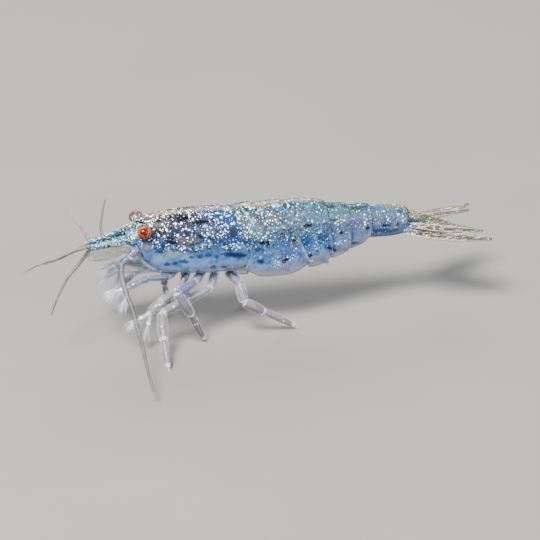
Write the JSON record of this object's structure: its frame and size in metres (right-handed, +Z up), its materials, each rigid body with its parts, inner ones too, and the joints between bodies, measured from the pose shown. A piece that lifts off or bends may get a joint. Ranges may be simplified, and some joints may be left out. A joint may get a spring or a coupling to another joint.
{
  "type": "aquarium shrimp",
  "caption": "Small freshwater shrimp as a still, life-size model, standing on its walking legs with its feeding claws lowered, its feelers spread and its tail fan open.",
  "frame": {"origin": "bottom centre of the whole model's box, on the floor between the feet", "axes": "+X runs from the head to the tail, +Y towards the animal's right side, +Z up"},
  "size_m": [0.0332, 0.0182, 0.009],
  "materials": {
    "shell": "smooth translucent sky-blue shell with fine pale specks and dark blue and brown patches",
    "limb": "clear grey-lavender cuticle with pale rims and joints",
    "fin": "thin clear blades with pale rims",
    "eye": "glossy orange-red with a darker middle and a pale rim"
  },
  "bodies": {
    "root": {"antenna_base_left": "shell", "antenna_base_right": "shell", "antenna_left": "limb", "antenna_right": "limb", "antennal_scale_left": "fin", "antennal_scale_right": "fin", "antennule_left": "shell", "antennule_lower_left": "limb", "antennule_lower_right": "limb", "antennule_right": "shell", "antennule_upper_left": "limb", "antennule_upper_right": "limb", "carapace": "shell", "chest": "shell", "claw_first_left": "limb", "claw_first_right": "limb", "claw_second_left": "limb", "claw_second_right": "limb", "eye_left": "eye", "eye_right": "eye", "eyestalk_left": "shell", "eyestalk_right": "shell", "feeding_leg_first_left": "limb", "feeding_leg_first_right": "limb", "feeding_leg_second_left": "limb", "feeding_leg_second_right": "limb", "head": "shell", "maxilliped_left": "limb", "maxilliped_right": "limb", "mouthparts": "shell", "rostrum": "shell", "swimmeret_1_left": "fin", "swimmeret_1_right": "fin", "swimmeret_2_left": "fin", "swimmeret_2_right": "fin", "swimmeret_3_left": "fin", "swimmeret_3_right": "fin", "swimmeret_4_left": "fin", "swimmeret_4_right": "fin", "swimmeret_5_left": "fin", "swimmeret_5_right": "fin", "tail_fan_inner_left": "fin", "tail_fan_inner_right": "fin", "tail_fan_outer_left": "fin", "tail_fan_outer_right": "fin", "tail_ring_1": "shell", "tail_ring_2": "shell", "tail_ring_3": "shell", "tail_ring_4": "shell", "tail_ring_5": "shell", "tail_ring_6": "shell", "telson": "fin", "walking_leg_front_left": "limb", "walking_leg_front_right": "limb", "walking_leg_middle_left": "limb", "walking_leg_middle_right": "limb", "walking_leg_rear_left": "limb", "walking_leg_rear_right": "limb"}
  },
  "joints": []
}
